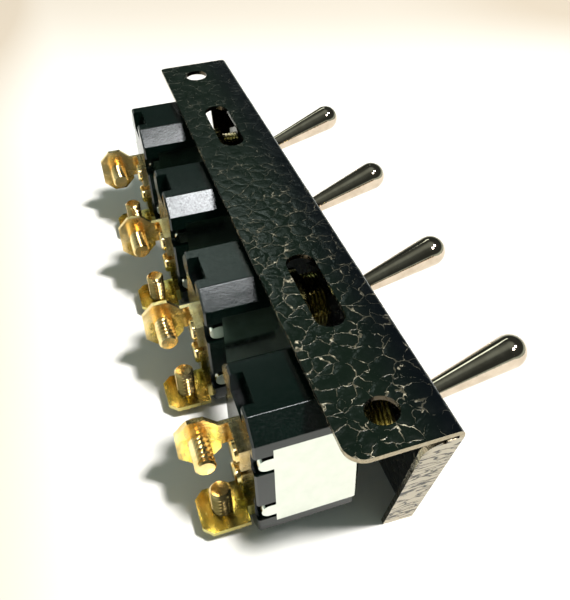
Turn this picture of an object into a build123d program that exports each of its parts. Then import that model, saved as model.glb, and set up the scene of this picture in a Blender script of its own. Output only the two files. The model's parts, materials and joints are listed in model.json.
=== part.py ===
from build123d import *
from math import asin, atan2, cos, hypot, radians, sin, sqrt, tan
import os

# Toggle switch panel: four toggle switches in a row on one folded sheet bracket.
# Millimetres. +X points along the levers, +Y along the bracket, +Z up.
# The origin is on the top face of the flange, midway between its two mounting holes.

# Folded bracket
sheet = 0.9
flange_length = 130.0
flange_width = 17.5
near_corner_radius = 3.2
far_corner_radius = 1.0
bend_radius = 1.1
panel_height = 36.4
panel_end_slant = 13.9
ear_width = 5.9
ear_drop = 1.5
ear_top_radius = 3.2
ear_bottom_radius = 0.6
ear_notch_place = 3.0
ear_notch_width = 0.7
ear_notch_depth = 0.8

# Mounting holes and slots in the flange
hole_from_bend = 9.6
hole_diameter = 5.35
hole_from_end = 7.0
slot_length = 19.4

# Row of switches
switch_count = 4
switch_pitch = 30.2
axis_drop = 17.5

# Switch body, set back from the panel's outer face
body_gap = 11.3
body_depth = 16.8
body_height = 29.9
body_width = 17.7
body_chamfer = 3.3
body_edge = 0.35
side_wall = 1.7
end_wall = 2.4
rear_wall = 3.6
cavity_chamfer = 1.5
notch_width = 6.6
notch_depth = 2.2
notch_height = 4.0

# U-shaped frame round the body
frame_thickness = 1.0
frame_bend_radius = 0.8
leg_width = 19.6
leg_length = 13.6
tab_spacing = 12.8
tab_width = 2.8
tab_length = 2.5
pocket_margin = 0.8
pocket_depth = 1.9

# Threaded bushing with its nuts and washer
thread_diameter = 11.9
thread_chamfer = 0.6
bushing_reach = 5.9
bushing_bore = 9.7
shoulder_diameter = 15.2
shoulder_thickness = 3.2
spigot_diameter = 13.2
panel_hole_clearance = 0.2
nut_across_flats = 14.3
nut_corner_diameter = 16.2
back_nut_thickness = 1.8
front_nut_thickness = 2.2
washer_diameter = 15.6
washer_thickness = 0.5
washer_tooth_count = 10
washer_tooth_length = 0.9
washer_tooth_width = 1.6

# Bat lever and its pin
pivot_reach = 4.6
lever_tilt = 19.5
lever_arm = 17.8
lever_tip_radius = 3.17
lever_neck_radius = 1.95
ball_radius = 3.6
ball_clearance = 0.1
seat_depth = 2.4
stub_radius = 2.1
lever_pin_radius = 0.7
lever_pin_length = 8.9
keyway_depth = 0.95
keyway_clearance = 0.06

# Rocker driven by the lever's inner end
rocker_swing = 7.5
rocker_ball_radius = 1.25
rocker_stem_radius = 0.8
rocker_hub_radius = 2.1
rocker_hub_width = 5.6
rocker_pad_length = 7.0
rocker_pad_rise = 0.1
rocker_pin_radius = 0.9
rocker_pin_clearance = 0.05
socket_clearance = 0.12
socket_lip = 0.6
socket_bottom = 1.8

# Moving and fixed contacts
blade_thickness = 0.8
blade_width = 5.0
blade_length = 16.4
button_radius = 1.5
button_thickness = 0.8
button_inset = 1.3
button_edge = 0.4
contact_gap = 0.12

# Brass cradle that carries the rocker, and the rivets through the rear wall
cradle_thickness = 0.8
cradle_width = 5.0
cradle_side_gap = 0.3
cradle_ear_radius = 2.2
rivet_radius = 1.3
rivet_head_radius = 2.2
rivet_head_height = 0.9
rivet_edge = 0.35

# Spring inside the lever
spring_wire_radius = 0.22
spring_radius = 0.95
spring_turns = 4
spring_end_gap = 0.05

# Screw terminals on the rear face
strap_thickness = 0.9
strap_margin = 2.6
upper_width = 10.8
lower_width = 8.8
upper_corner = 2.4
lower_corner = 1.6
lower_foot_height = 3.0
upper_offset = 4.4
upper_drop = 0.5
upper_reach = 10.1
upper_screw_reach = 6.3
lower_offsets = [3.0, 5.2, 5.4, 5.4]
lower_drop = 11.0
lower_reach = 9.0
lower_screw_reach = 4.8
screw_radius = 1.85
screw_tip_chamfer = 0.35
screw_head_radius = 3.4
screw_head_height = 2.2
screw_head_edge = 0.5
screw_slot_width = 0.9
screw_slot_depth = 1.1
upper_screw_length = 5.6
lower_screw_length = 5.6

# Places worked out from the sizes above
panel_face = hole_from_bend
panel_back = panel_face - sheet
flange_middle = panel_face - flange_width / 2
flange_end = flange_length / 2
hole_row = flange_end - hole_from_end
slant = radians(panel_end_slant)
slant_height = panel_height - ear_drop
bottom_end = flange_end - slant_height * tan(slant)
switch_rows = [switch_pitch * (n - (switch_count - 1) / 2) for n in range(switch_count)]
slot_rows = [switch_rows[0] + switch_pitch / 2, switch_rows[-1] - switch_pitch / 2]

body_front = panel_face - body_gap
body_rear = body_front - body_depth
cavity_rear = body_rear + rear_wall
cavity_width = body_width - 2 * (frame_thickness + side_wall)
cavity_height = body_height - 2 * end_wall
leg_end = body_front - leg_length
leg_inside = body_width / 2 - frame_thickness
tab_middle = tab_width / 4 - tab_length / 2
plate_face = body_front + frame_thickness
shoulder_face = plate_face + shoulder_thickness
bushing_end = panel_face + bushing_reach
washer_face = panel_back - washer_thickness
terminal_face = body_rear - strap_thickness

pivot = panel_face + pivot_reach
tilt = radians(lever_tilt)
swing = radians(rocker_swing)
blade_face = rocker_hub_radius + rocker_pad_rise
button_face = blade_face + blade_thickness + button_thickness
button_rise = blade_length / 2 - button_inset
button_low = button_face * cos(swing) + (button_rise + button_radius) * sin(swing)
contact_drop = button_rise * cos(swing) - button_face * sin(swing)
rocker_pivot = cavity_rear + rivet_head_height + contact_gap + button_low
pivot_distance = pivot - rocker_pivot
rocker_reach = pivot_distance * sin(tilt) / sin(tilt + swing)
rocker_ball_depth = pivot_distance * sin(swing) / sin(tilt + swing)
stub_length = rocker_ball_depth + socket_lip
socket_radius = rocker_ball_radius + socket_clearance


def switch_plane(place):
    """Plane square to the switch axis at a place along X: first across the row, then up."""
    return Plane(origin=(place, 0, -axis_drop), x_dir=(0, 1, 0), z_dir=(1, 0, 0))


def side_plane(place, angle=0.0):
    """Plane along the switch axis, turned up about a point on it: first outwards, then up."""
    turn = radians(angle)
    return Plane(origin=(place, 0, -axis_drop), x_dir=(cos(turn), 0, sin(turn)), z_dir=(0, -1, 0))


def axis_of(plane):
    """The line along a side plane's first direction."""
    return Axis(plane.origin, plane.x_dir)


def write_one(piece, name):
    piece.part.label = name
    export_step(piece.part, f"parts/{name}.step")


def write_row(piece, name):
    """Write one copy of a switch's piece for each place in the row."""
    for number, row in enumerate(switch_rows, start=1):
        copy = piece.part.moved(Location((0, row, 0)))
        copy.label = f"{name}_{number}"
        export_step(copy, f"parts/{name}_{number}.step")


def write_group(piece, name, rows=switch_rows):
    """Write the like fasteners of the whole row as one group of separate solids."""
    solids = []
    for row in rows:
        solids += piece.part.moved(Location((0, row, 0))).solids()
    group = Compound(children=solids)
    group.label = name
    export_step(group, f"parts/{name}.step")


os.makedirs("parts", exist_ok=True)

# Bracket: a flange on top, a front panel with slanted ends, and an ear folded back along each slant
with BuildPart() as bracket:
    with BuildSketch(Plane.XY):
        with Locations((flange_middle, 0)):
            Rectangle(flange_width, flange_length)
        fillet(vertices().group_by(Axis.X)[0].sort_by(Axis.Y)[0], near_corner_radius)
        fillet(vertices().group_by(Axis.X)[0].sort_by(Axis.Y)[-1], far_corner_radius)
    extrude(amount=-sheet)
    with BuildSketch(Plane(origin=(panel_face, 0, 0), x_dir=(0, 1, 0), z_dir=(1, 0, 0))):
        with BuildLine():
            Polyline(
                (-flange_end, 0),
                (flange_end, 0),
                (flange_end, -ear_drop),
                (bottom_end, -panel_height),
                (-bottom_end, -panel_height),
                (-flange_end, -ear_drop),
                close=True,
            )
        make_face()
    extrude(amount=-sheet)
    ear_plane = Plane(
        origin=(panel_face, -flange_end, -ear_drop),
        x_dir=(-1, 0, 0),
        z_dir=(0, -cos(slant), -sin(slant)),
    )
    with BuildSketch(ear_plane):
        with Locations((ear_width / 2, slant_height / cos(slant) / 2)):
            Rectangle(ear_width, slant_height / cos(slant))
        fillet(vertices().group_by(Axis.Y)[0].sort_by(Axis.X)[-1], ear_top_radius)
        fillet(vertices().group_by(Axis.Y)[-1].sort_by(Axis.X)[-1], ear_bottom_radius)
        with Locations((ear_notch_place, 0)):
            Rectangle(ear_notch_width, 2 * ear_notch_depth, mode=Mode.SUBTRACT)
    ears = extrude(amount=-sheet)
    mirror(ears, about=Plane.XZ)
    with Locations((0, -hole_row), (0, hole_row)):
        Hole(hole_diameter / 2)
    with BuildSketch(Plane.XY):
        with Locations(*[(0, row) for row in slot_rows]):
            SlotOverall(slot_length, hole_diameter, rotation=90)
    extrude(amount=-sheet, mode=Mode.SUBTRACT)
    with BuildSketch(switch_plane(panel_face)):
        with Locations(*[(row, 0) for row in switch_rows]):
            Circle(thread_diameter / 2 + panel_hole_clearance)
    extrude(amount=-sheet, mode=Mode.SUBTRACT)
    top_bend = edges().filter_by(Axis.Y).group_by(Axis.Z)[-1].sort_by(Axis.X)[-1]
    fillet(top_bend, bend_radius)
write_one(bracket, "bracket")

# Switch body: a moulded cup with chamfered long corners, open towards the panel
with BuildPart() as body:
    with BuildSketch(switch_plane(body_rear)):
        Rectangle(body_width, body_height)
        chamfer(vertices(), body_chamfer)
    extrude(amount=body_depth)
    fillet(edges().filter_by(Axis.X), body_edge)
    chamfer(faces().sort_by(Axis.X)[0].edges(), body_edge)
    with BuildSketch(switch_plane(cavity_rear)):
        Rectangle(cavity_width, cavity_height)
        chamfer(vertices(), cavity_chamfer)
    extrude(amount=body_front - cavity_rear, mode=Mode.SUBTRACT)
    with BuildSketch(switch_plane(leg_end)):
        with Locations((leg_inside + frame_thickness, 0), (-leg_inside - frame_thickness, 0)):
            Rectangle(2 * frame_thickness, leg_width)
    extrude(amount=leg_length, mode=Mode.SUBTRACT)
    with BuildSketch(switch_plane(body_rear)):
        with Locations((0, body_height / 2), (0, -body_height / 2)):
            Rectangle(notch_width, 2 * notch_height)
    extrude(amount=notch_depth, mode=Mode.SUBTRACT)
    with BuildSketch(switch_plane(body_rear)):
        with GridLocations(body_width, tab_spacing, 2, 2):
            Rectangle(2 * pocket_depth, tab_width + 2 * pocket_margin)
    extrude(amount=leg_end - body_rear, mode=Mode.SUBTRACT)
    with BuildSketch(switch_plane(body_rear)):
        with Locations((0, 0), (0, -contact_drop)):
            Circle(rivet_radius)
    extrude(amount=rear_wall, mode=Mode.SUBTRACT)
write_row(body, "body")

# Frame: a plate across the body's mouth with a leg down each side, crimped by two tabs a leg
with BuildPart() as frame:
    with BuildSketch(switch_plane(body_front)):
        Rectangle(body_width, leg_width)
        Circle(spigot_diameter / 2, mode=Mode.SUBTRACT)
    extrude(amount=frame_thickness)
    with BuildSketch(side_plane(leg_end).offset(-body_width / 2)):
        with Locations((leg_length / 2, 0)):
            Rectangle(leg_length, leg_width)
        with Locations((tab_middle, tab_spacing / 2), (tab_middle, -tab_spacing / 2)):
            SlotOverall(tab_length + tab_width / 2, tab_width)
    leg = extrude(amount=frame_thickness)
    mirror(leg, about=Plane.XZ)
    outer_bends = edges().filter_by(Axis.Z).group_by(Axis.X)[-1]
    fillet(outer_bends, frame_bend_radius)
write_row(frame, "frame")

# Bushing: a threaded neck on a shoulder, bored for the lever and closed in to a ball seat at the mouth
seat_radius = ball_radius + ball_clearance
mouth_radius = sqrt(seat_radius**2 - (bushing_end - pivot) ** 2)
with BuildPart() as bushing:
    with BuildSketch(side_plane(0)):
        with BuildLine():
            Polyline(
                (bushing_end, mouth_radius),
                (bushing_end, thread_diameter / 2 - thread_chamfer),
                (bushing_end - thread_chamfer, thread_diameter / 2),
                (shoulder_face, thread_diameter / 2),
                (shoulder_face, shoulder_diameter / 2),
                (plate_face, shoulder_diameter / 2),
                (plate_face, spigot_diameter / 2),
                (body_front, spigot_diameter / 2),
                (body_front, bushing_bore / 2),
                (pivot - seat_depth, bushing_bore / 2),
                (pivot - seat_depth, seat_radius),
                (pivot, seat_radius),
            )
            RadiusArc((pivot, seat_radius), (bushing_end, mouth_radius), seat_radius)
        make_face()
    revolve(axis=axis_of(side_plane(0)))
    keyway_end = pivot + lever_pin_radius + keyway_clearance
    with BuildSketch(switch_plane(pivot - seat_depth)):
        Rectangle(2 * (seat_radius + keyway_depth), 2 * (lever_pin_radius + keyway_clearance))
    extrude(amount=keyway_end - pivot + seat_depth, mode=Mode.SUBTRACT)
write_row(bushing, "bushing")


def hex_nut(place, thickness):
    """A hexagon nut on the bushing from a place along X outwards, with turned corners."""
    with BuildPart() as nut:
        with BuildSketch(switch_plane(place)):
            RegularPolygon(nut_across_flats / 2, 6, major_radius=False, rotation=30)
        extrude(amount=thickness)
        with BuildSketch(switch_plane(place)):
            Circle(nut_corner_diameter / 2)
        extrude(amount=thickness, mode=Mode.INTERSECT)
        with BuildSketch(switch_plane(place)):
            Circle(thread_diameter / 2)
        extrude(amount=thickness, mode=Mode.SUBTRACT)
    return nut


write_group(hex_nut(washer_face - back_nut_thickness, back_nut_thickness), "back_nuts")
write_group(hex_nut(panel_face, front_nut_thickness), "front_nuts")

# Lock washer: a thin ring with teeth pointing in to the thread
with BuildPart() as lock_washer:
    with BuildSketch(switch_plane(washer_face)):
        Circle(washer_diameter / 2)
        Circle(thread_diameter / 2 + washer_tooth_length, mode=Mode.SUBTRACT)
        with PolarLocations(thread_diameter / 2 + washer_tooth_length, washer_tooth_count):
            Rectangle(2 * washer_tooth_length, washer_tooth_width)
        Circle(thread_diameter / 2, mode=Mode.SUBTRACT)
    extrude(amount=washer_thickness)
write_group(lock_washer, "lock_washers")

# Lever: a bat handle, a pivot ball and a hollow stub in one turned piece
lever_plane = side_plane(pivot, lever_tilt)
neck_place = sqrt(ball_radius**2 - lever_neck_radius**2)
taper_run = lever_arm - neck_place
taper_span = hypot(taper_run, lever_neck_radius)
taper = asin(lever_tip_radius / taper_span) - atan2(lever_neck_radius, taper_run)
taper_end = lever_arm - lever_tip_radius * sin(taper)
stub_place = sqrt(ball_radius**2 - stub_radius**2)
with BuildPart() as lever:
    with BuildSketch(lever_plane):
        with BuildLine():
            Polyline(
                (lever_arm + lever_tip_radius, 0),
                (-socket_bottom, 0),
                (-socket_bottom, socket_radius),
                (-stub_length, socket_radius),
                (-stub_length, stub_radius),
                (-stub_place, stub_radius),
            )
            RadiusArc((-stub_place, stub_radius), (neck_place, lever_neck_radius), ball_radius)
            Line((neck_place, lever_neck_radius), (taper_end, lever_tip_radius * cos(taper)))
            RadiusArc(
                (taper_end, lever_tip_radius * cos(taper)),
                (lever_arm + lever_tip_radius, 0),
                lever_tip_radius,
            )
        make_face()
    revolve(axis=axis_of(lever_plane))
    with BuildSketch(lever_plane):
        Circle(lever_pin_radius)
    extrude(amount=ball_radius, both=True, mode=Mode.SUBTRACT)
write_row(lever, "lever")

with BuildPart() as lever_pin:
    with BuildSketch(lever_plane):
        Circle(lever_pin_radius)
    extrude(amount=lever_pin_length / 2, both=True)
write_row(lever_pin, "lever_pin")

# Spring: a short coil in the stub, pressed on the rocker's ball
spring_length = rocker_ball_depth - rocker_ball_radius - socket_bottom - 2 * spring_end_gap
coil_height = spring_length - 2 * spring_wire_radius
coil_start = lever_plane.from_local_coords((-socket_bottom - spring_end_gap - spring_wire_radius, 0, 0))
with BuildPart() as spring:
    with BuildLine():
        coil = Helix(
            pitch=coil_height / spring_turns,
            height=coil_height,
            radius=spring_radius,
            center=coil_start,
            direction=-lever_plane.x_dir,
        )
    with BuildSketch(Plane(origin=coil @ 0, z_dir=coil % 0)):
        Circle(spring_wire_radius)
    sweep(path=coil, is_frenet=True)
write_row(spring, "spring")

# Rocker: a moulded hub with a ball-ended stem that the lever's socket drives
rocker_plane = side_plane(rocker_pivot, -rocker_swing)
ball_centre = rocker_plane.from_local_coords((rocker_reach, 0, 0))
with BuildPart() as rocker:
    with BuildSketch(rocker_plane):
        Circle(rocker_hub_radius)
        with Locations((-blade_face / 2, 0)):
            Rectangle(blade_face, rocker_pad_length)
    extrude(amount=rocker_hub_width / 2, both=True)
    with BuildSketch(Plane(origin=rocker_plane.origin, z_dir=rocker_plane.x_dir)):
        Circle(rocker_stem_radius)
    extrude(amount=rocker_reach)
    with Locations(ball_centre):
        Sphere(rocker_ball_radius)
    with BuildSketch(rocker_plane):
        Circle(rocker_pin_radius + rocker_pin_clearance)
    extrude(amount=rocker_hub_width / 2, both=True, mode=Mode.SUBTRACT)
write_row(rocker, "rocker")

# Contact blade: a strip under the rocker with a contact button at its lower end
with BuildPart() as contact_blade:
    with BuildSketch(rocker_plane):
        with Locations((-blade_face - blade_thickness / 2, 0)):
            Rectangle(blade_thickness, blade_length)
    extrude(amount=blade_width / 2, both=True)
    button_plane = Plane(
        origin=rocker_plane.from_local_coords((-blade_face - blade_thickness, -button_rise, 0)),
        z_dir=-rocker_plane.x_dir,
    )
    with BuildSketch(button_plane):
        Circle(button_radius)
    extrude(amount=button_thickness)
    button_rim = edges().filter_by(GeomType.CIRCLE).sort_by_distance(button_plane.offset(button_thickness).origin)
    chamfer(button_rim[0], button_edge)
write_row(contact_blade, "contact_blade")

# Cradle: a channel on the inside of the rear wall whose ears hold the rocker's pin
ear_inside = rocker_hub_width / 2 + cradle_side_gap
ear_outside = ear_inside + cradle_thickness
with BuildPart() as cradle:
    with BuildSketch(switch_plane(cavity_rear)):
        Rectangle(2 * ear_outside, cradle_width)
        Circle(rivet_radius, mode=Mode.SUBTRACT)
    extrude(amount=cradle_thickness)
    with BuildSketch(side_plane(rocker_pivot).offset(-ear_outside)):
        Circle(cradle_ear_radius)
        with Locations(((cavity_rear - rocker_pivot) / 2, 0)):
            Rectangle(rocker_pivot - cavity_rear, 2 * cradle_ear_radius)
        Circle(rocker_pin_radius, mode=Mode.SUBTRACT)
    cradle_ear = extrude(amount=cradle_thickness)
    mirror(cradle_ear, about=Plane.XZ)
write_row(cradle, "cradle")

with BuildPart() as rocker_pin:
    with BuildSketch(side_plane(rocker_pivot)):
        Circle(rocker_pin_radius)
    extrude(amount=ear_outside, both=True)
write_group(rocker_pin, "rocker_pins")


def rear_rivet(rise, inside):
    """A rivet through the rear wall and a terminal strap, with its inner head at a place along X."""
    with BuildPart() as rivet:
        with BuildSketch(switch_plane(terminal_face)):
            with Locations((0, rise)):
                Circle(rivet_radius)
        extrude(amount=inside - terminal_face)
        with BuildSketch(switch_plane(inside), switch_plane(terminal_face - rivet_head_height)):
            with Locations((0, rise)):
                Circle(rivet_head_radius)
        extrude(amount=rivet_head_height)
        outer_rims = edges().filter_by(GeomType.CIRCLE).sort_by(Axis.X)
        chamfer([outer_rims[0], outer_rims[-1]], rivet_edge)
    return rivet


write_group(rear_rivet(0, cavity_rear + cradle_thickness), "cradle_rivets")
write_group(rear_rivet(-contact_drop, cavity_rear), "contact_rivets")

# Upper terminal: a strap on the rear face and a plate bent back from its far edge, facing along the row
upper_screw = body_rear - upper_screw_reach
upper_end = body_rear - upper_reach
upper_plate_start = 2 * upper_screw - upper_end
upper_strap_end = upper_offset + strap_thickness / 2
with BuildPart() as upper_terminal:
    with BuildSketch(switch_plane(terminal_face)):
        with Locations((upper_strap_end, 0)):
            Rectangle(upper_strap_end + strap_margin, 2 * strap_margin, align=(Align.MAX, Align.CENTER))
        Circle(rivet_radius, mode=Mode.SUBTRACT)
    extrude(amount=strap_thickness)
    with BuildSketch(side_plane(upper_screw).offset(-upper_strap_end)):
        with Locations((0, -upper_drop)):
            Rectangle(upper_plate_start - upper_end, upper_width)
        chamfer(vertices(), upper_corner)
        with Locations(((body_rear - upper_screw) / 2, 0)):
            Rectangle(body_rear - upper_screw, 2 * strap_margin)
        with Locations((0, -upper_drop)):
            Circle(screw_radius, mode=Mode.SUBTRACT)
    extrude(amount=strap_thickness)
write_row(upper_terminal, "upper_terminal")

# Lower terminal: a strap on the rear face and a plate bent back from its lower end, facing up
lower_plate = Plane.XY.offset(-axis_drop - lower_drop - strap_thickness / 2)
lower_screw = body_rear - lower_screw_reach
lower_end = body_rear - lower_reach
lower_strap_length = lower_drop + strap_thickness / 2 - contact_drop + strap_margin


def lower_terminal(offset):
    """A lower terminal whose plate stands some way nearer than the body's middle."""
    with BuildPart() as terminal:
        with BuildSketch(switch_plane(terminal_face)):
            with Locations((0, strap_margin - contact_drop)):
                Rectangle(2 * strap_margin, lower_strap_length, align=(Align.CENTER, Align.MAX))
            with Locations((strap_margin, -lower_drop - strap_thickness / 2)):
                Rectangle(offset + 2 * strap_margin, lower_foot_height, align=(Align.MAX, Align.MIN))
            with Locations((0, -contact_drop)):
                Circle(rivet_radius, mode=Mode.SUBTRACT)
        extrude(amount=strap_thickness)
        with BuildSketch(lower_plate):
            with Locations((lower_end, -offset)):
                Rectangle(lower_reach - strap_thickness, lower_width, align=(Align.MIN, Align.CENTER))
            chamfer(vertices().group_by(Axis.X)[0], lower_corner)
            with Locations((body_rear, -offset)):
                Rectangle(2 * strap_thickness, 2 * strap_margin, align=(Align.MAX, Align.CENTER))
            with Locations((lower_screw, -offset)):
                Circle(screw_radius, mode=Mode.SUBTRACT)
        extrude(amount=strap_thickness)
    return terminal


for number, (row, offset) in enumerate(zip(switch_rows, lower_offsets), start=1):
    placed = lower_terminal(offset).part.moved(Location((0, row, 0)))
    placed.label = f"lower_terminal_{number}"
    export_step(placed, f"parts/lower_terminal_{number}.step")


def terminal_screw(head_plane, length):
    """A slotted screw whose head seats on a plane and whose thread points along the plane's normal."""
    with BuildPart() as screw:
        with BuildSketch(head_plane):
            Circle(screw_radius)
        extrude(amount=length)
        chamfer(faces().sort_by(Axis(head_plane.origin, head_plane.z_dir))[-1].edges(), screw_tip_chamfer)
        with BuildSketch(head_plane):
            Circle(screw_head_radius)
        extrude(amount=-screw_head_height)
        chamfer(faces().sort_by(Axis(head_plane.origin, head_plane.z_dir))[0].edges(), screw_head_edge)
        with BuildSketch(head_plane.offset(-screw_head_height)):
            Rectangle(2 * screw_head_radius, screw_slot_width)
        extrude(amount=screw_slot_depth, mode=Mode.SUBTRACT)
    return screw


upper_head_plane = Plane(
    origin=(upper_screw, upper_strap_end, -axis_drop - upper_drop),
    x_dir=(1, 0, 0),
    z_dir=(0, -1, 0),
)
lower_head_plane = Plane(
    origin=(lower_screw, 0, lower_plate.origin.Z),
    x_dir=(1, 0, 0),
    z_dir=(0, 0, 1),
)
write_group(terminal_screw(upper_head_plane, strap_thickness + upper_screw_length), "upper_screws")
write_group(
    terminal_screw(lower_head_plane, strap_thickness + lower_screw_length),
    "lower_screws",
    [row - offset for row, offset in zip(switch_rows, lower_offsets)],
)
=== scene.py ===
import json
import math

import bmesh
import bpy
from mathutils import Matrix, Vector


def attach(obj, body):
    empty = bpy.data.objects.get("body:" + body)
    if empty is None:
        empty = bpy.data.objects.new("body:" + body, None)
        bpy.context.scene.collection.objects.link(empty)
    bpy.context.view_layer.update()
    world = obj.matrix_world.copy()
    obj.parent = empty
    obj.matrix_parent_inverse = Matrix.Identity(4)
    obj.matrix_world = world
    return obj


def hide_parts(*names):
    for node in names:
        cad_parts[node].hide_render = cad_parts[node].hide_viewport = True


# Toggle switch panel: finishes, threaded pieces, table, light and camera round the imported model.
# Sizes and places are in metres, in the model's own frame: +X along the levers, +Y along the row, +Z up.
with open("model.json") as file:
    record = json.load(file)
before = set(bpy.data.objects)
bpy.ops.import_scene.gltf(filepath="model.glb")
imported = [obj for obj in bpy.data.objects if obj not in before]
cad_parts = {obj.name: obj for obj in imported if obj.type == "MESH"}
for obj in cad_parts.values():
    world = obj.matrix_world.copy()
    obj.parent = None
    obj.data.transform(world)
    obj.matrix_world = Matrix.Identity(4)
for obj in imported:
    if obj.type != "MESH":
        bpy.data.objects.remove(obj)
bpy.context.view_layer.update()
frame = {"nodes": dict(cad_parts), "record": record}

mm = 0.001

# Bracket
SHEET = 0.9 * mm
FLANGE_LENGTH = 130.0 * mm
FLANGE_WIDTH = 17.5 * mm
PANEL_FACE = 9.6 * mm
PANEL_BACK = PANEL_FACE - SHEET
PANEL_BOTTOM = -36.4 * mm
BEND_RADIUS = 1.1 * mm
EAR_TOP = -1.6 * mm
EAR_SLANT = math.radians(13.9)

# Switches
SWITCH_COUNT = 4
SWITCH_PITCH = 30.2 * mm
SWITCH_ROWS = [SWITCH_PITCH * (n - (SWITCH_COUNT - 1) / 2) for n in range(SWITCH_COUNT)]
AXIS_HEIGHT = -17.5 * mm
BODY_FRONT = -1.7 * mm
BODY_REAR = -18.5 * mm
BODY_BOTTOM = -32.45 * mm
FRAME_PLATE = 1.0 * mm
FRAME_LEG = 13.6 * mm

# Threaded bushing
THREAD_RADIUS = 5.95 * mm
THREAD_PITCH = 0.794 * mm
THREAD_DEPTH = 0.44 * mm
THREAD_CHAMFER = 0.6 * mm
PLATE_FACE = BODY_FRONT + FRAME_PLATE
SHOULDER_FACE = PLATE_FACE + 3.2 * mm
SHOULDER_RADIUS = 7.6 * mm
SPIGOT_RADIUS = 6.6 * mm
BORE_RADIUS = 4.85 * mm
BUSHING_END = PANEL_FACE + 5.9 * mm
PIVOT = PANEL_FACE + 4.6 * mm
SEAT_RADIUS = 3.7 * mm
SEAT_DEPTH = 2.4 * mm
SEAT_STEPS = 6

# Terminal screws
SCREW_RADIUS = 1.85 * mm
SCREW_THREAD_DEPTH = 0.55 * mm
SCREW_THREAD_PITCH = 0.95 * mm
SCREW_TIP_CHAMFER = 0.35 * mm
SCREW_LENGTH = 5.6 * mm
HEAD_RADIUS = 3.4 * mm
HEAD_HEIGHT = 2.2 * mm
HEAD_ROUND = 0.9 * mm
HEAD_STEPS = 5
SLOT_WIDTH = 0.9 * mm
SLOT_DEPTH = 1.1 * mm

# Terminal straps: their thickness, and where the screw heads sit on them, from each switch's axis and rear
STRAP = 0.9 * mm
UPPER_REACH = 6.3 * mm
UPPER_OFFSET = 4.85 * mm
UPPER_DROP = 0.5 * mm
LOWER_REACH = 4.8 * mm
LOWER_OFFSETS = [3.0 * mm, 5.2 * mm, 5.4 * mm, 5.4 * mm]
LOWER_DROP = 11.45 * mm
UPPER_SEAT = Vector((BODY_REAR - UPPER_REACH, UPPER_OFFSET, AXIS_HEIGHT - UPPER_DROP))
LOWER_SEAT = Vector((BODY_REAR - LOWER_REACH, 0, AXIS_HEIGHT - LOWER_DROP))

# Thread mesh: points round a turn and along each pitch, and where its flanks meet the crest and the root
TURN_POINTS = 40
PITCH_POINTS = 6
THREAD_CREST = 0.12
THREAD_ROOT = 0.88
SEAM_DISTANCE = 0.0005 * mm
SHARP_EDGE = math.radians(32)

# The range in which the grey of a noise texture mostly stays
NOISE_SPAN = (0.3, 0.7)

# Crackle enamel: cells of the net, how far its lines wander, and the widest crack as a share of a cell
CRACKLE_CELL = 3.0 * mm
WANDER = 2.6 * mm
WANDER_CELL = 2.4 * mm
CRACK_PATCH = 3.2 * mm
CRACK_WIDTH = 0.055
CRACK_CORE = 0.35
CRACK_RELIEF = 0.22 * mm

# Places along the row between which the cracks and their painted glints fade into painted shade, and how
# faint they end
CRACKS_CLEAR = -55 * mm
CRACKS_FAINT = 25 * mm
FAINTEST = 0.14

# Enamelled faces: a small reach past each face, and how squarely a face has to look its way
PAINT_REACH = 0.1 * mm
SQUARELY = 0.9
MOSTLY = 0.6

# Width at the bracket's edges in which bare metal counts as the outer rim
RIM = 2.0 * mm

# Grooves on the outside of the ears, with a painted sheen between them and painted shade in them
GROOVE_SIZE = 1.6 * mm
GROOVE_STRETCH = (0.28, 1.0, 1.0)
GROOVE_TURN = (0, 0.45, 0)
GROOVE_LEVEL = 0.48

# Height and band below which the brass turns darker and olive, and the places where painted shade darkens
# the zinc between the switches
BRASS_LOW_LINE = AXIS_HEIGHT - 5.5 * mm
BRASS_LOW_BAND = 2 * mm
ZINC_SHADE_START = SWITCH_ROWS[0] - 8 * mm
ZINC_SHADE_FULL = SWITCH_ROWS[0] - 4 * mm
LEG_END = BODY_FRONT - FRAME_LEG

# Table under the panel's lower edge and the bodies' lower rear edges, and where painted shade turns it
# cream to the camera
TABLE_SLOPE = (BODY_BOTTOM - PANEL_BOTTOM) / (BODY_REAR - PANEL_BACK)
TABLE_SIZE = 3.0
TABLE_WHITE = (0.84, 0.84, 0.83)
TABLE_PAINTED_SHADE = (0.54, 0.47, 0.39)
TABLE_GLOW = 0.008
GLOW_COLOR = (0.97, 1.0, 1.0, 1)
PAINTED_SHADE_LEFT = (-30 * mm, -66 * mm)
PAINTED_SHADE_FAR = (90 * mm, 225 * mm)
PAINTED_SHADE_RIGHT = (120 * mm, 260 * mm)

# Room: even light on matt surfaces, and the tint and brightness of what glossy ones mirror
ROOM_LIGHT = (0.19, 0.225, 0.19)
ROOM_TINT = (0.84, 1.0, 0.91)
LEFT_WALL = 0.40
CEILING = 0.25
SKIRTING = 0.6
FAR_WINDOW = 2.3
DARK_WALLS = 0.045

# Between which parts of the mirrored direction each of them comes up, and the skirting goes down
LEFT_WALL_EDGE = (-0.15, -0.8)
CEILING_EDGE = (0.86, 1.0)
SKIRTING_EDGE = (0.05, 0.24)
WINDOW_FOOT = (0.59, 0.62)
WINDOW_HEAD = (0.69, 0.66)
WINDOW_NEAR_EDGE = (0.30, 0.50)
WINDOW_RIGHT_EDGE = (0.25, 0.18)

# Lamps: the window that casts the shadows, and a small one seen only in reflections
WINDOW_PLACE = (0.824, -0.56, 1.734)
WINDOW_SIZE = 0.26
WINDOW_POWER = 66.0
WINDOW_COLOR = (1.0, 0.97, 0.93)
GLEAM_PLACE = (0.085, -0.357, 0.533)
GLEAM_SIZE = 0.13
GLEAM_POWER = 1.75
GLEAM_COLOR = (0.95, 0.98, 1.0)

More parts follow.
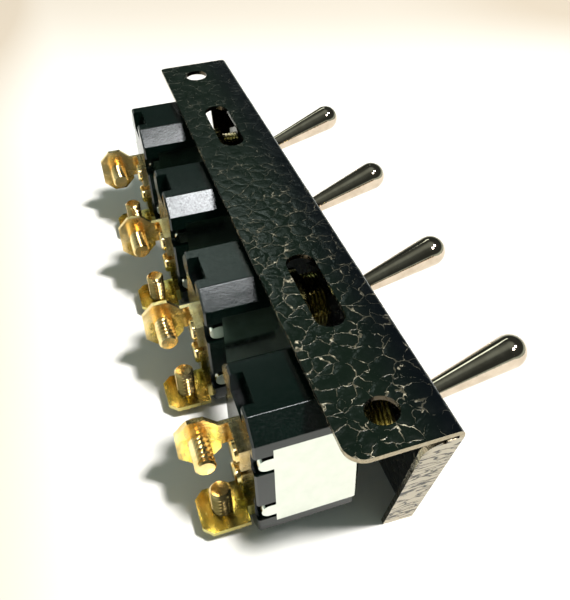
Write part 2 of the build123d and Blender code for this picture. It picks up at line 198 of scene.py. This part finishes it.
# Camera at the photograph's place
CAMERA_PLACE = Vector((-31.72, -114.0, 79.47)) * mm
CAMERA_RIGHT = Vector((0.948106, -0.317356, -0.019494))
CAMERA_UP = Vector((0.228086, 0.636132, 0.737098))
CAMERA_BACK = Vector((-0.221522, -0.703293, 0.675505))
CAMERA_LENS = 42.13
CAMERA_SENSOR = 36.0
CAMERA_NEAREST = 0.005
CAMERA_FARTHEST = 20.0


# Node helpers


def put(tree, kind, inputs=None, **settings):
    """Add a node, set its settings, and fill or link its inputs by name or number."""
    made = tree.nodes.new(kind)
    for key, value in settings.items():
        setattr(made, key, value)
    for key, value in (inputs or {}).items():
        if isinstance(value, bpy.types.NodeSocket):
            tree.links.new(value, made.inputs[key])
        else:
            made.inputs[key].default_value = value
    return made


def work_out(tree, operation, *values):
    """The result of a Math node."""
    return put(tree, "ShaderNodeMath", dict(enumerate(values)), operation=operation).outputs[0]


def plus(tree, first, second):
    """The sum of two values."""
    return work_out(tree, "ADD", first, second)


def times(tree, first, second):
    """The product of two values."""
    return work_out(tree, "MULTIPLY", first, second)


def unsigned(tree, value):
    """A value without its sign."""
    return work_out(tree, "ABSOLUTE", value)


def past(tree, value, limit):
    """1 where a value is past a limit, else 0."""
    return work_out(tree, "GREATER_THAN", value, limit)


def either(tree, first, second):
    """The larger of two values."""
    return work_out(tree, "MAXIMUM", first, second)


def vectors(tree, operation, *values):
    """The vector result of a Vector Math node."""
    return put(tree, "ShaderNodeVectorMath", dict(enumerate(values)), operation=operation).outputs[0]


def scaled(tree, vector, amount):
    """A vector times a value."""
    return put(tree, "ShaderNodeVectorMath", {0: vector, "Scale": amount}, operation="SCALE").outputs[0]


def parts(tree, vector):
    """The X, Y and Z of a vector."""
    return put(tree, "ShaderNodeSeparateXYZ", {0: vector}).outputs


def remap(tree, value, low, high, to_low=0.0, to_high=1.0):
    """A value stretched smoothly from one range to another and held at its ends."""
    inputs = {"Value": value, "From Min": low, "From Max": high, "To Min": to_low, "To Max": to_high}
    return put(tree, "ShaderNodeMapRange", inputs, interpolation_type="SMOOTHSTEP").outputs[0]


def blend(tree, share, first, second):
    """One colour or grey value turning into another by a share."""
    ends = [value if isinstance(value, bpy.types.NodeSocket) else (*value, 1) for value in (first, second)]
    return put(tree, "ShaderNodeMix", {0: share, 6: ends[0], 7: ends[1]}, data_type="RGBA").outputs[2]


def noise(tree, where, size, detail=3.0, roughness=0.5, distortion=0.0):
    """The grey value of a noise texture with marks of a size."""
    inputs = {"Vector": where, "Scale": 1 / size, "Detail": detail, "Roughness": roughness}
    return put(tree, "ShaderNodeTexNoise", {**inputs, "Distortion": distortion}).outputs[0]


def bump(tree, height, distance, strength=1.0, under=None):
    """A normal that follows a height, on top of another normal where one is given."""
    inputs = {"Height": height, "Distance": distance, "Strength": strength}
    if under is not None:
        inputs["Normal"] = under
    return put(tree, "ShaderNodeBump", inputs).outputs[0]


def new_finish(name):
    """A material, its tree, its shader and the object coordinates."""
    material = bpy.data.materials.new(name)
    material.use_nodes = True
    tree = material.node_tree
    shader = tree.nodes["Principled BSDF"]
    where = put(tree, "ShaderNodeTexCoord").outputs["Object"]
    return material, tree, shader, where


def fill(tree, shader, **inputs):
    """Set or link the shader's inputs, with an underscore for each space."""
    for key, value in inputs.items():
        socket = shader.inputs[key.replace("_", " ")]
        if isinstance(value, bpy.types.NodeSocket):
            tree.links.new(value, socket)
        else:
            socket.default_value = value


# Finish of the bracket


def crackle(tree, where):
    """The distance from the lines of the net, its cracks, and the patches in which they widen."""
    inputs = {"Vector": where, "Scale": 1 / WANDER_CELL, "Detail": 4.0}
    drift = put(tree, "ShaderNodeTexNoise", inputs).outputs[1]
    centred = vectors(tree, "SUBTRACT", drift, (0.5, 0.5, 0.5))
    bent = vectors(tree, "ADD", where, scaled(tree, centred, WANDER))
    inputs = {"Vector": bent, "Scale": 1 / CRACKLE_CELL}
    lines = put(tree, "ShaderNodeTexVoronoi", inputs, feature="DISTANCE_TO_EDGE").outputs[0]
    patches = noise(tree, where, CRACK_PATCH, 4.0, 0.6)
    width = remap(tree, patches, 0.41, 0.66, 0.0, CRACK_WIDTH)
    cracks = remap(tree, lines, times(tree, width, CRACK_CORE), width, 1.0, 0.0)
    return lines, cracks, patches


def enamelled_faces(tree, where):
    """Every face of the sheet that has enamel, and the outside of the ears; the cut edges have none."""
    place = parts(tree, where)
    facing = parts(tree, put(tree, "ShaderNodeNewGeometry").outputs["True Normal"])
    sideways = put(tree, "ShaderNodeCombineXYZ", {1: unsigned(tree, facing[1]), 2: facing[2]}).outputs[0]
    ear_normal = (0, math.cos(EAR_SLANT), -math.sin(EAR_SLANT))
    ear_match = put(tree, "ShaderNodeVectorMath", {0: sideways, 1: ear_normal}, operation="DOT_PRODUCT")
    ear_facing = ear_match.outputs["Value"]
    below_flange = work_out(tree, "LESS_THAN", place[2], EAR_TOP)
    ears_outside = times(tree, past(tree, ear_facing, SQUARELY), below_flange)
    ears = times(tree, past(tree, unsigned(tree, ear_facing), SQUARELY), below_flange)
    level = past(tree, unsigned(tree, facing[2]), MOSTLY)
    flange = times(tree, level, past(tree, place[2], -SHEET - PAINT_REACH))
    upright = past(tree, unsigned(tree, facing[0]), MOSTLY)
    panel = times(tree, upright, past(tree, place[0], PANEL_BACK - PAINT_REACH))
    slanting = past(tree, plus(tree, facing[0], facing[2]), SQUARELY)
    bend = times(tree, slanting, past(tree, place[0], PANEL_FACE - BEND_RADIUS - PAINT_REACH))
    enamelled = either(tree, either(tree, ears, flange), either(tree, panel, bend))
    return enamelled, ears_outside


def ear_grooves_and_sheen(tree, where):
    """0 in the long grooves of the ears and 1 between them."""
    inputs = {"Vector": where, "Scale": GROOVE_STRETCH, "Rotation": GROOVE_TURN}
    along = put(tree, "ShaderNodeMapping", inputs).outputs[0]
    streaks = noise(tree, along, GROOVE_SIZE, 3.0, 0.5, 0.5)
    return remap(tree, unsigned(tree, work_out(tree, "SUBTRACT", streaks, GROOVE_LEVEL)), 0.008, 0.05)


def bare_sheet(tree, where):
    """Bare metal, pale and gritty at the outer rim, and dark brown inside the holes and slots as painted
    shade.
    """
    place = parts(tree, where)
    rim = blend(tree, noise(tree, where, 0.35 * mm, 3.0, 0.6), (0.19, 0.155, 0.10), (0.48, 0.41, 0.29))
    # The walls of the holes and slots get a dark brown: painted shade.
    shaded_inside = work_out(tree, "LESS_THAN", unsigned(tree, place[1]), FLANGE_LENGTH / 2 - RIM)
    shaded_inside = times(tree, shaded_inside, past(tree, place[0], PANEL_FACE - FLANGE_WIDTH + RIM))
    return blend(tree, shaded_inside, rim, (0.07, 0.055, 0.035))


def crackle_enamel():
    """Black enamel with a net of pale cracks, grooves on the ears with a painted sheen between them and
    painted shade in them, and bare sheet at the cuts.
    """
    material, tree, shader, where = new_finish("crackle_enamel")
    lines, cracks, patches = crackle(tree, where)
    enamelled, ears_outside = enamelled_faces(tree, where)
    grooves = ear_grooves_and_sheen(tree, where)
    place = parts(tree, where)
    toward_bend = remap(tree, place[0], 0.0, PANEL_FACE)

    clouds = noise(tree, where, 8 * mm)
    green = blend(tree, clouds, (0.0022, 0.0055, 0.0034), (0.005, 0.0100, 0.0062))
    # Darker and bluer toward the bend: painted shade.
    dark = blend(tree, toward_bend, green, (0.0012, 0.002, 0.0034))
    # The cracks fade along the row and toward the bend as painted shade.
    along_row = remap(tree, place[1], CRACKS_CLEAR, CRACKS_FAINT, 1.0, FAINTEST)
    fading = times(tree, along_row, remap(tree, toward_bend, 0.2, 0.9, 1.0, 0.35))
    # The pale glints on the cracks are painted highlights.
    glints = remap(tree, noise(tree, where, 1.3 * mm, 3.0, 0.65), 0.50, 0.68)
    pale = blend(tree, glints, (0.075, 0.068, 0.045), (0.62, 0.56, 0.42))
    paint = blend(tree, times(tree, cracks, fading), dark, pale)
    # The ears' outer faces get a pale painted sheen between the grooves and painted shade in them.
    sheen_and_groove_shade = blend(tree, grooves, (0.02, 0.016, 0.01), (0.52, 0.45, 0.34))
    paint = blend(tree, ears_outside, paint, sheen_and_groove_shade)
    color = blend(tree, enamelled, bare_sheet(tree, where), paint)

    ridges = plus(tree, remap(tree, lines, 0.0, 0.30), times(tree, cracks, 0.6))
    relief = blend(tree, ears_outside, ridges, grooves)
    depth = either(tree, remap(tree, fading, 0.1, 0.8, 0.09, 0.42), times(tree, ears_outside, 0.9))
    surface = bump(tree, relief, CRACK_RELIEF, depth)
    surface = bump(tree, noise(tree, where, 0.8 * mm), 0.05 * mm, 0.5, surface)
    rough = blend(tree, cracks, remap(tree, patches, *NOISE_SPAN, 0.15, 0.26), (0.32, 0.32, 0.32))
    rough = blend(tree, ears_outside, rough, (0.5, 0.5, 0.5))
    bare = work_out(tree, "SUBTRACT", 1.0, enamelled)
    fill(tree, shader, Base_Color=color, Metallic=bare, Roughness=rough, Normal=surface)
    return material


# Finishes of the switches


def black_phenolic():
    """Moulded black phenolic: glossy, with fine grain and faint greenish clouds."""
    material, tree, shader, where = new_finish("black_phenolic")
    grain = noise(tree, where, 0.35 * mm, 3.0, 0.7)
    color = blend(tree, noise(tree, where, 7 * mm, 4.0), (0.0008, 0.0032, 0.0022), (0.002, 0.0072, 0.0055))
    surface = bump(tree, grain, 0.03 * mm, 0.6)
    surface = bump(tree, noise(tree, where, 3 * mm), 0.05 * mm, 0.4, surface)
    rough = remap(tree, grain, *NOISE_SPAN, 0.11, 0.24)
    fill(tree, shader, Base_Color=color, Roughness=rough, Normal=surface)
    return material


def metal_finish(name, dark, light, roughness, scratch_size, spread=0.08, dents=0.01 * mm, metallic=1.0):
    """Plated or bare metal, or a brown moulding, with cloudy colour, uneven gloss and fine scratches."""
    material, tree, shader, where = new_finish(name)
    clouds = noise(tree, where, 2.5 * mm, 4.0, 0.6)
    scratches = noise(tree, where, scratch_size, 4.0, 0.65)
    color = blend(tree, remap(tree, clouds, *NOISE_SPAN), dark, light)
    rough = remap(tree, scratches, *NOISE_SPAN, max(roughness - spread, 0.02), roughness + spread)
    surface = bump(tree, scratches, dents, 0.6)
    fill(tree, shader, Base_Color=color, Metallic=metallic, Roughness=rough, Normal=surface)
    return material


def zinc_plate():
    """Zinc plate, bright on the near leg and on the crimped tabs, and darker between the switches as
    painted shade.
    """
    material, tree, shader, where = new_finish("zinc_plate")
    place = parts(tree, where)
    clouds = remap(tree, noise(tree, where, 2.5 * mm, 4.0, 0.6), *NOISE_SPAN)
    scratches = noise(tree, where, 1.6 * mm, 4.0, 0.65)
    # Legs between the switches are darkened and tinted green: painted shade.
    shade_between = times(tree, remap(tree, place[1], ZINC_SHADE_START, ZINC_SHADE_FULL), past(tree, place[0], LEG_END))
    bright = blend(tree, clouds, (0.64, 0.67, 0.60), (0.69, 0.72, 0.645))
    shaded_zinc = blend(tree, clouds, (0.36, 0.43, 0.385), (0.42, 0.50, 0.45))
    rough = remap(tree, scratches, *NOISE_SPAN, 0.06, 0.12)
    surface = bump(tree, scratches, 0.003 * mm, 0.6)
    color = blend(tree, shade_between, bright, shaded_zinc)
    fill(tree, shader, Base_Color=color, Metallic=1.0, Roughness=rough, Normal=surface)
    return material


def nut_plate():
    """Nickel plate, bright on the outside nuts and dark on the inside ones behind the panel, a painted
    shade.
    """
    material, tree, shader, where = new_finish("nut_plate")
    clouds = noise(tree, where, 2.5 * mm, 4.0, 0.6)
    outside = past(tree, parts(tree, where)[0], PANEL_FACE - SHEET / 2)
    # The inside nuts are darkened: painted shade behind the panel.
    shaded_nuts = blend(tree, clouds, (0.09, 0.09, 0.08), (0.20, 0.20, 0.18))
    bright = blend(tree, clouds, (0.62, 0.60, 0.55), (0.78, 0.76, 0.70))
    rough = remap(tree, clouds, *NOISE_SPAN, 0.20, 0.36)
    fill(tree, shader, Base_Color=blend(tree, outside, shaded_nuts, bright), Metallic=1.0, Roughness=rough)
    return material


def brass_by_height(name, deep, pale, darker_tone, smoothest, roughest, scratch_size):
    """Brass that is bright above a height line and darker and more olive in patches below it."""
    material, tree, shader, where = new_finish(name)
    patches = noise(tree, where, 5 * mm, 4.0, 0.6)
    height = parts(tree, where)[2]
    low = remap(tree, height, BRASS_LOW_LINE - BRASS_LOW_BAND, BRASS_LOW_LINE + BRASS_LOW_BAND, 1.0, 0.0)
    darker_share = times(tree, low, remap(tree, patches, 0.25, 0.6, 0.45, 1.0))
    bright = blend(tree, remap(tree, patches, 0.35, 0.65), deep, pale)
    scratches = noise(tree, where, scratch_size, 4.0, 0.6)
    rough = remap(tree, scratches, *NOISE_SPAN, smoothest, roughest)
    surface = bump(tree, scratches, 0.012 * mm, 0.5)
    color = blend(tree, darker_share, bright, darker_tone)
    fill(tree, shader, Base_Color=color, Metallic=1.0, Roughness=rough, Normal=surface)
    return material


def terminal_brass():
    """Stamped brass of the terminals and the rivets."""
    deep, pale, darker_tone = (0.90, 0.65, 0.27), (1.0, 0.80, 0.44), (0.46, 0.41, 0.12)
    return brass_by_height("terminal_brass", deep, pale, darker_tone, 0.14, 0.28, 1.4 * mm)


def screw_brass():
    """Turned brass of the terminal screws."""
    deep, pale, darker_tone = (0.86, 0.58, 0.22), (1.0, 0.78, 0.40), (0.34, 0.23, 0.08)
    return brass_by_height("screw_brass", deep, pale, darker_tone, 0.12, 0.24, 1.2 * mm)


def brass_thread():
    """Turned brass of the bushings, darkened as painted shade under the flange."""
    # Its dark tones are painted shade of the bushings under the flange.
    dark, light = (0.28, 0.23, 0.08), (0.56, 0.47, 0.18)
    return metal_finish("brass_thread", dark, light, 0.20, 0.8 * mm, dents=0.006 * mm)


def chrome():
    """Warm chrome of the levers."""
    dark, light = (0.51, 0.42, 0.33), (0.63, 0.53, 0.425)
    return metal_finish("chrome", dark, light, 0.06, 1.2 * mm, spread=0.04, dents=0.006 * mm)


def rocker_moulding():
    """Brown moulding of the rockers."""
    dark, light = (0.20, 0.10, 0.04), (0.30, 0.17, 0.08)
    return metal_finish("rocker_moulding", dark, light, 0.45, 0.5 * mm, metallic=0.0)


finishes = {
    "crackle_paint": crackle_enamel(),
    "black_phenolic": black_phenolic(),
    "zinc_plate": zinc_plate(),
    "brass_thread": brass_thread(),
    "chrome": chrome(),
    "steel_pin": metal_finish("steel_pin", (0.45, 0.45, 0.46), (0.62, 0.62, 0.62), 0.25, 0.5 * mm),
    "spring_steel": metal_finish("spring_steel", (0.30, 0.30, 0.32), (0.45, 0.45, 0.46), 0.28, 0.4 * mm),
    "rocker_moulding": rocker_moulding(),
    "contact_brass": metal_finish("contact_brass", (0.62, 0.44, 0.18), (0.82, 0.62, 0.30), 0.26, 0.6 * mm),
    "terminal_brass": terminal_brass(),
    "nut_plate": nut_plate(),
    "screw_brass": screw_brass(),
}
for subpart in frame["record"]["subparts"]:
    node_object = frame["nodes"][subpart["node"]]
    node_object.data.materials.clear()
    node_object.data.materials.append(finishes[subpart["material_slot"]])


# Geometry Nodes trees of the threaded pieces


def new_tree(name, inputs, output):
    """A Geometry Nodes tree with named inputs and one geometry output, and its group input's sockets."""
    tree = bpy.data.node_groups.new(name, "GeometryNodeTree")
    for label, kind in inputs.items():
        tree.interface.new_socket(label, in_out="INPUT", socket_type="NodeSocket" + kind)
    tree.interface.new_socket(output, in_out="OUTPUT", socket_type="NodeSocketGeometry")
    return tree, tree.nodes.new("NodeGroupInput").outputs


def threaded_turning():
    """Turns a profile about X and cuts a thread where the profile asks for one."""
    kinds = {"Profile": "Geometry", "Pitch": "Float", "Depth": "Float", "Turn Points": "Int"}
    tree, given = new_tree("threaded_turning", {**kinds, "Finish": "Material"}, "Turned")

    # A grid with a row for each point of the profile and one column more than there are points in a turn
    around = given["Turn Points"]
    count = put(tree, "GeometryNodeAttributeDomainSize", {0: given["Profile"]}).outputs["Point Count"]
    columns = plus(tree, around, 1)
    grid = put(tree, "GeometryNodeMeshGrid", {"Vertices X": count, "Vertices Y": columns}).outputs["Mesh"]
    index = put(tree, "GeometryNodeInputIndex").outputs[0]
    row = work_out(tree, "FLOOR", work_out(tree, "DIVIDE", plus(tree, index, 0.5), columns))
    column = work_out(tree, "SUBTRACT", index, times(tree, row, columns))
    turn = work_out(tree, "DIVIDE", column, around)

    # The profile's point for each row: place along X, share of the thread, radius
    position = put(tree, "GeometryNodeInputPosition").outputs[0]
    sample = put(tree, "GeometryNodeSampleIndex", data_type="FLOAT_VECTOR", domain="POINT")
    tree.links.new(given["Profile"], sample.inputs["Geometry"])
    tree.links.new(position, next(s for s in sample.inputs if s.name == "Value" and s.enabled))
    tree.links.new(row, sample.inputs["Index"])
    along, share, outer = parts(tree, next(s for s in sample.outputs if s.enabled))

    # A helical wave cuts the radius
    wound = work_out(tree, "FRACT", plus(tree, work_out(tree, "DIVIDE", along, given["Pitch"]), turn))
    wave = unsigned(tree, work_out(tree, "SUBTRACT", times(tree, wound, 2.0), 1.0))
    inputs = {"Value": wave, "From Min": THREAD_CREST, "From Max": THREAD_ROOT}
    flank = put(tree, "ShaderNodeMapRange", inputs).outputs[0]
    cut = times(tree, times(tree, flank, given["Depth"]), share)
    radius = work_out(tree, "SUBTRACT", outer, cut)
    angle = times(tree, turn, math.tau)
    across = times(tree, radius, work_out(tree, "SINE", angle))
    upward = times(tree, radius, work_out(tree, "COSINE", angle))
    place = put(tree, "ShaderNodeCombineXYZ", {0: along, 1: across, 2: upward}).outputs[0]

    turned = put(tree, "GeometryNodeSetPosition", {"Geometry": grid, "Position": place}).outputs[0]
    inputs = {"Geometry": turned, "Distance": SEAM_DISTANCE}
    closed = put(tree, "GeometryNodeMergeByDistance", inputs).outputs[0]
    real = put(tree, "GeometryNodeRealizeInstances", {"Geometry": closed}).outputs[0]
    inputs = {"Geometry": real, "Material": given["Finish"]}
    finished = put(tree, "GeometryNodeSetMaterial", inputs).outputs[0]
    put(tree, "NodeGroupOutput", {0: finished})
    return tree


def row_of_copies():
    """Sets one copy of a piece at each point of a mesh."""
    kinds = {"Places": "Geometry", "Piece": "Object", "Finish": "Material"}
    tree, given = new_tree("row_of_copies", kinds, "Row")
    piece = put(tree, "GeometryNodeObjectInfo", {"Object": given["Piece"]}).outputs["Geometry"]
    inputs = {"Points": given["Places"], "Instance": piece}
    row = put(tree, "GeometryNodeInstanceOnPoints", inputs).outputs[0]
    real = put(tree, "GeometryNodeRealizeInstances", {"Geometry": row}).outputs[0]
    inputs = {"Geometry": real, "Material": given["Finish"]}
    finished = put(tree, "GeometryNodeSetMaterial", inputs).outputs[0]
    put(tree, "NodeGroupOutput", {0: finished})
    return tree


TURNING_TREE = threaded_turning()
ROW_TREE = row_of_copies()


# Mesh helpers


def add_object(name, data):
    """A new object in the scene."""
    made = bpy.data.objects.new(name, data)
    bpy.context.collection.objects.link(made)
    return made


def plain_mesh(holder, name):
    """An object's mesh after its modifiers; the object itself is removed."""
    depsgraph = bpy.context.evaluated_depsgraph_get()
    result = bpy.data.meshes.new_from_object(holder.evaluated_get(depsgraph), depsgraph=depsgraph)
    bpy.data.objects.remove(holder)
    result.name = name
    return result


def through_nodes(mesh, tree, name, **values):
    """The mesh after a Geometry Nodes tree, as a new plain mesh."""
    holder = add_object(name + "_holder", mesh)
    modifier = holder.modifiers.new("shape", "NODES")
    modifier.node_group = tree
    for item in tree.interface.items_tree:
        if item.in_out == "INPUT" and item.name in values:
            modifier[item.identifier] = values[item.name]
    return plain_mesh(holder, name)


def turned_mesh(name, profile, pitch, depth, finish):
    """A profile of (place along X, share of thread, radius) turned about X."""
    outline = bpy.data.meshes.new(name + "_profile")
    edges = [(n, n + 1) for n in range(len(profile) - 1)]
    outline.from_pydata(profile, edges, [])
    values = {"Pitch": pitch, "Depth": depth, "Turn Points": TURN_POINTS, "Finish": finish}
    return through_nodes(outline, TURNING_TREE, name, **values)


def threaded_run(start, end, radius, pitch):
    """Points along a thread, with the cut starting and ending at nothing."""
    steps = round(abs(end - start) / pitch * PITCH_POINTS)
    run = []
    for n in range(steps + 1):
        share = min(1.0, 2 * n / PITCH_POINTS, 2 * (steps - n) / PITCH_POINTS)
        run.append((start + (end - start) * n / steps, share, radius))
    return run


def round_steps(centre, radius, start, end, steps):
    """Points on an arc of a profile, from one angle to another, leaving out the first."""
    turns = [start + (end - start) * n / steps for n in range(1, steps + 1)]
    return [(centre[0] + radius * math.cos(a), 0.0, centre[1] + radius * math.sin(a)) for a in turns]


def face_outward(mesh):
    """Turn the faces of a closed mesh outwards."""
    edit = bmesh.new()
    edit.from_mesh(mesh)
    bmesh.ops.recalc_face_normals(edit, faces=edit.faces)
    edit.to_mesh(mesh)
    edit.free()


def add_row(name, mesh, slot, nodes, rows):
    """Copies of a mesh along the row of switches as one piece on the panel, in place of model nodes."""
    places = bpy.data.meshes.new(name + "_places")
    places.from_pydata([(0, row, 0) for row in rows], [], [])
    original = add_object(name + "_original", mesh)
    row_mesh = through_nodes(places, ROW_TREE, name, Piece=original, Finish=finishes[slot])
    bpy.data.objects.remove(original)
    face_outward(row_mesh)
    row_mesh.shade_smooth()
    row_mesh.set_sharp_from_angle(angle=SHARP_EDGE)
    piece = add_object(name, row_mesh)
    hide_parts(*nodes)
    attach(piece, "panel")
    return piece


# Threaded bushings


def bushing_profile():
    """The bushing from its mouth along the thread to the staked end, and back to the seat of the ball."""
    mouth_angle = math.acos((BUSHING_END - PIVOT) / SEAT_RADIUS)
    mouth_radius = SEAT_RADIUS * math.sin(mouth_angle)
    points = [(BUSHING_END, 0, mouth_radius), (BUSHING_END, 0, THREAD_RADIUS - THREAD_CHAMFER)]
    points += threaded_run(BUSHING_END - THREAD_CHAMFER, SHOULDER_FACE, THREAD_RADIUS, THREAD_PITCH)
    points += [(SHOULDER_FACE, 0, SHOULDER_RADIUS), (PLATE_FACE, 0, SHOULDER_RADIUS)]
    points += [(PLATE_FACE, 0, SPIGOT_RADIUS), (BODY_FRONT, 0, SPIGOT_RADIUS)]
    points += [(BODY_FRONT, 0, BORE_RADIUS), (PIVOT - SEAT_DEPTH, 0, BORE_RADIUS)]
    points += [(PIVOT - SEAT_DEPTH, 0, SEAT_RADIUS), (PIVOT, 0, SEAT_RADIUS)]
    points += round_steps((PIVOT, 0), SEAT_RADIUS, math.pi / 2, mouth_angle, SEAT_STEPS)
    return points


all_bushings = [f"bushing_{n}" for n in range(1, SWITCH_COUNT + 1)]
bushing = turned_mesh("bushing", bushing_profile(), THREAD_PITCH, THREAD_DEPTH, finishes["brass_thread"])
bushing.transform(Matrix.Translation((0, 0, AXIS_HEIGHT)))
add_row("threaded_bushings", bushing, "brass_thread", all_bushings, SWITCH_ROWS)


# Terminal screws


def screw_profile():
    """A binding-head screw along X, its head below the start and its thread ahead of it."""
    length = STRAP + SCREW_LENGTH
    round_centre = (HEAD_ROUND - HEAD_HEIGHT, HEAD_RADIUS - HEAD_ROUND)
    points = [(-HEAD_HEIGHT, 0, 0), (-HEAD_HEIGHT, 0, HEAD_RADIUS - HEAD_ROUND)]
    points += round_steps(round_centre, HEAD_ROUND, math.pi, math.pi / 2, HEAD_STEPS)
    points += [(0, 0, HEAD_RADIUS), (0, 0, SCREW_RADIUS)]
    points += threaded_run(STRAP / 2, length - SCREW_TIP_CHAMFER, SCREW_RADIUS, SCREW_THREAD_PITCH)
    points += [(length, 0, SCREW_RADIUS - SCREW_TIP_CHAMFER), (length, 0, 0)]
    return points


def slot_cutter():
    """A box as wide and deep as the slot that runs past both sides of the head."""
    depths = (-2 * HEAD_HEIGHT, SLOT_DEPTH - HEAD_HEIGHT)
    lengths = (-2 * HEAD_RADIUS, 2 * HEAD_RADIUS)
    widths = (-SLOT_WIDTH / 2, SLOT_WIDTH / 2)
    corners = [(x, y, z) for x in depths for y in lengths for z in widths]
    sides = [(0, 1, 3, 2), (4, 6, 7, 5), (0, 4, 5, 1), (2, 3, 7, 6), (0, 2, 6, 4), (1, 5, 7, 3)]
    cutter = bpy.data.meshes.new("slot_cutter")
    cutter.from_pydata(corners, [], sides)
    face_outward(cutter)
    return cutter


def screw_mesh(name):
    """The turned screw with a slot cut across its head."""
    finish = finishes["screw_brass"]
    screw = turned_mesh(name, screw_profile(), SCREW_THREAD_PITCH, SCREW_THREAD_DEPTH, finish)
    face_outward(screw)
    holder = add_object("screw_holder", screw)
    cutter = add_object("slot_cutter", slot_cutter())
    cut = holder.modifiers.new("slot", "BOOLEAN")
    cut.object = cutter
    cut.solver = "EXACT"
    slotted = plain_mesh(holder, name + "_slotted")
    bpy.data.objects.remove(cutter)
    return slotted


upper = screw_mesh("upper_screw")
upper.transform(Matrix.Translation(UPPER_SEAT) @ Matrix.Rotation(math.radians(-90), 4, "Z"))
add_row("upper_screw_row", upper, "screw_brass", ["upper_screws"], SWITCH_ROWS)

lower = screw_mesh("lower_screw")
lower.transform(Matrix.Translation(LOWER_SEAT) @ Matrix.Rotation(math.radians(-90), 4, "Y"))
lower_rows = [row - offset for row, offset in zip(SWITCH_ROWS, LOWER_OFFSETS)]
add_row("lower_screw_row", lower, "screw_brass", ["lower_screws"], lower_rows)


# Table


def white_table():
    """White table, with painted shade turning it cream to the camera at the left and in the far right
    corner, and a very faint glow.
    """
    material = bpy.data.materials.new("white_table")
    material.use_nodes = True
    tree = material.node_tree
    tree.nodes.clear()
    rays = put(tree, "ShaderNodeLightPath").outputs
    place = parts(tree, put(tree, "ShaderNodeTexCoord").outputs["Object"])
    # The cream that only the camera sees, at the left and in the far right corner, is painted shade.
    far_corner_shade = times(tree, remap(tree, place[1], *PAINTED_SHADE_FAR), remap(tree, place[0], *PAINTED_SHADE_RIGHT, 0.75, 1.05))
    painted_shade = plus(tree, far_corner_shade, remap(tree, place[0], *PAINTED_SHADE_LEFT, 0.0, 0.72))
    color = blend(tree, times(tree, painted_shade, rays["Is Camera Ray"]), TABLE_WHITE, TABLE_PAINTED_SHADE)
    matt = put(tree, "ShaderNodeBsdfDiffuse", {"Color": color}).outputs[0]
    mirrored = either(tree, rays["Is Glossy Ray"], rays["Is Transmission Ray"])
    seen = either(tree, rays["Is Camera Ray"], mirrored)
    inputs = {"Color": GLOW_COLOR, "Strength": times(tree, seen, TABLE_GLOW)}
    glow = put(tree, "ShaderNodeEmission", inputs).outputs[0]
    surface = put(tree, "ShaderNodeAddShader", {0: matt, 1: glow}).outputs[0]
    put(tree, "ShaderNodeOutputMaterial", {"Surface": surface})
    return material


half = TABLE_SIZE / 2
left_height, right_height = [PANEL_BOTTOM + TABLE_SLOPE * (x - PANEL_BACK) for x in (-half, half)]
near_edge = [(-half, -half, left_height), (half, -half, right_height)]
far_edge = [(half, half, right_height), (-half, half, left_height)]
table_mesh = bpy.data.meshes.new("table")
table_mesh.from_pydata(near_edge + far_edge, [], [(0, 1, 2, 3)])
table_mesh.materials.append(white_table())
table = add_object("table", table_mesh)


# Room and lamps


def room():
    """White to the camera, even grey light to matt surfaces, dark walls and a window to glossy ones."""
    world = bpy.data.worlds.new("room")
    world.use_nodes = True
    tree = world.node_tree
    tree.nodes.clear()
    rays = put(tree, "ShaderNodeLightPath").outputs
    right, far, upward = parts(tree, put(tree, "ShaderNodeTexCoord").outputs["Generated"])
    left_wall = remap(tree, right, *LEFT_WALL_EDGE, 0.0, LEFT_WALL)
    ceiling = remap(tree, upward, *CEILING_EDGE, 0.0, CEILING)
    skirting = remap(tree, unsigned(tree, upward), *SKIRTING_EDGE, SKIRTING, 0.0)
    window_height = times(tree, remap(tree, upward, *WINDOW_FOOT), remap(tree, upward, *WINDOW_HEAD))
    window_width = times(tree, remap(tree, far, *WINDOW_NEAR_EDGE), remap(tree, right, *WINDOW_RIGHT_EDGE))
    window = times(tree, times(tree, window_height, window_width), FAR_WINDOW)
    light = plus(tree, plus(tree, left_wall, ceiling), plus(tree, window, skirting))
    mirrored = scaled(tree, ROOM_TINT, plus(tree, light, DARK_WALLS))
    lit = blend(tree, rays["Is Diffuse Ray"], mirrored, ROOM_LIGHT)
    seen = blend(tree, rays["Is Camera Ray"], lit, (1, 1, 1))
    background = put(tree, "ShaderNodeBackground", {"Color": seen, "Strength": 1.0}).outputs[0]
    put(tree, "ShaderNodeOutputWorld", {"Surface": background})
    return world


def add_lamp(name, place, size, power, color):
    """A square area lamp aimed at the middle of the object."""
    lamp = bpy.data.lights.new(name, "AREA")
    lamp.shape = "SQUARE"
    lamp.size = size
    lamp.energy = power
    lamp.color = color
    holder = add_object(name, lamp)
    aim = Vector((0, 0, AXIS_HEIGHT)) - Vector(place)
    holder.matrix_world = Matrix.Translation(place) @ aim.to_track_quat("-Z", "Y").to_matrix().to_4x4()
    return holder


bpy.context.scene.world = room()
add_lamp("window_lamp", WINDOW_PLACE, WINDOW_SIZE, WINDOW_POWER, WINDOW_COLOR)
gleam = add_lamp("gleam_lamp", GLEAM_PLACE, GLEAM_SIZE, GLEAM_POWER, GLEAM_COLOR)
gleam.visible_diffuse = False


# Camera
camera = bpy.data.cameras.new("camera")
camera.sensor_fit = "VERTICAL"
camera.sensor_height = CAMERA_SENSOR
camera.lens = CAMERA_LENS
camera.clip_start = CAMERA_NEAREST
camera.clip_end = CAMERA_FARTHEST
camera_holder = add_object("camera", camera)
camera_turn = Matrix((CAMERA_RIGHT, CAMERA_UP, CAMERA_BACK)).transposed().to_4x4()
camera_holder.matrix_world = Matrix.Translation(CAMERA_PLACE) @ camera_turn
bpy.context.scene.camera = camera_holder
bpy.context.scene.view_settings.view_transform = "Standard"
